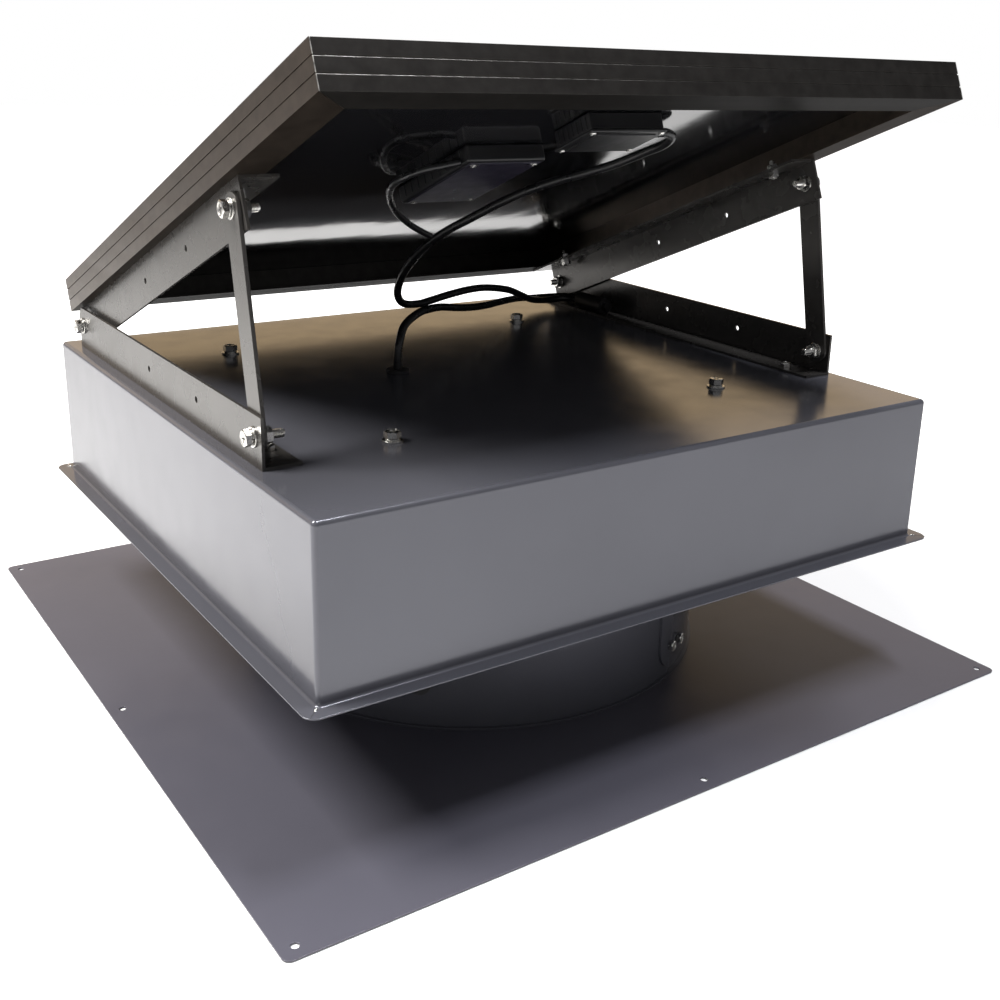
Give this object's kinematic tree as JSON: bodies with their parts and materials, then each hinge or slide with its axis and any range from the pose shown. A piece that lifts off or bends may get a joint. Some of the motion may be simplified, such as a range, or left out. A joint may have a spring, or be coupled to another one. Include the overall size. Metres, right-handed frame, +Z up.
{
  "type": "solar attic fan",
  "caption": "Roof-mounted solar attic ventilator: square flashing with a round throat and fan, a raised square hood, and a tilting solar panel on steel angles.",
  "frame": {"origin": "middle of the flashing plate's underside, where it rests on the roof", "axes": "+X along the front edge, +Y towards the panel's hinge, +Z up"},
  "size_m": [0.61, 0.61, 0.4646],
  "materials": {
    "powder_coat": "semi-gloss dark graphite powder coat",
    "bracket_coat": "semi-gloss black powder coat",
    "black_steel": "satin black paint",
    "zinc": "bright zinc plating",
    "motor_steel": "turned steel",
    "lamination": "dull laminated steel",
    "copper": "enamelled copper",
    "rubber": "matte rubber",
    "cable_jacket": "smooth PVC jacket",
    "sleeve": "shrunk sleeve",
    "fan_metal": "satin black paint",
    "black_aluminium": "black anodised",
    "key_aluminium": "mill finish",
    "panel_glass": "low-iron tempered glass",
    "silicon": "dark monocrystalline cells",
    "backsheet": "glossy black film",
    "black_plastic": "moulded plastic",
    "grey_plastic": "moulded plastic"
  },
  "bodies": {
    "root": {"flashing_plate": "powder_coat", "throat_collar": "powder_coat", "hood_cover": "powder_coat", "hood_leg_front": "powder_coat", "hood_leg_right": "powder_coat", "hood_leg_rear": "powder_coat", "hood_leg_left": "powder_coat", "leg_bolts": "zinc", "leg_nuts": "zinc", "hood_bolts": "zinc", "hood_washers": "zinc", "hood_nuts": "zinc", "wire_guard": "zinc", "motor_arm_lower": "black_steel", "motor_arm_upper": "black_steel", "motor_isolators": "rubber", "motor_screws": "zinc", "motor_base_plate": "motor_steel", "motor_can": "motor_steel", "motor_end_cap": "motor_steel", "stator_core": "lamination", "stator_coils": "copper", "motor_bearings": "motor_steel", "motor_lead": "cable_jacket", "cable_grommets": "rubber", "lower_angle_left": "bracket_coat", "lower_angle_right": "bracket_coat", "bracket_bolts": "zinc", "hinge_spacers": "zinc", "bracket_nuts": "zinc", "bracket_washers": "zinc", "foot_screws": "zinc", "splice_cap": "sleeve", "fan_lead": "cable_jacket", "panel_lead": "cable_jacket"},
    "fan": {"motor_shaft": "motor_steel", "rotor_magnets": "lamination", "fan_hub": "fan_metal", "fan_blades": "fan_metal", "hub_fasteners": "zinc"},
    "left_strut": {"strut_left": "bracket_coat"},
    "right_strut": {"strut_right": "bracket_coat"},
    "panel": {"upper_angle_left": "bracket_coat", "upper_angle_right": "bracket_coat", "strut_top_bolts": "zinc", "strut_top_washers": "zinc", "panel_bolts": "zinc", "panel_nuts": "zinc", "frame_front": "black_aluminium", "frame_rear": "black_aluminium", "frame_left": "black_aluminium", "frame_right": "black_aluminium", "corner_keys": "key_aluminium", "panel_glass": "panel_glass", "solar_cells": "silicon", "backsheet": "backsheet", "junction_box": "black_plastic", "junction_box_lid": "black_plastic", "controller_box": "grey_plastic", "controller_lead": "cable_jacket"}
  },
  "joints": [
    {"name": "fan_spin", "type": "hinge", "parent": "root", "child": "fan", "pos_m": [0, 0, 0.1], "axis": [0, 0, 1], "continuous": true},
    {"name": "panel_tilt", "type": "hinge", "parent": "root", "child": "panel", "pos_m": [0, 0.21, 0.237], "axis": [-1, 0, 0], "range_deg": [-17, 0], "deforming": ["panel_lead", "controller_lead"]},
    {"name": "left_strut_fold", "type": "hinge", "parent": "root", "child": "left_strut", "pos_m": [-0.2414, -0.142, 0.237], "axis": [1, 0, 0], "range_deg": [0, 104]},
    {"name": "right_strut_fold", "type": "hinge", "parent": "root", "child": "right_strut", "pos_m": [0.2414, -0.142, 0.237], "axis": [1, 0, 0], "range_deg": [0, 104]}
  ],
  "couplings": [
    {"joint": "left_strut_fold", "follows": "panel_tilt", "ratio": -6.1},
    {"joint": "right_strut_fold", "follows": "panel_tilt", "ratio": -6.1}
  ]
}
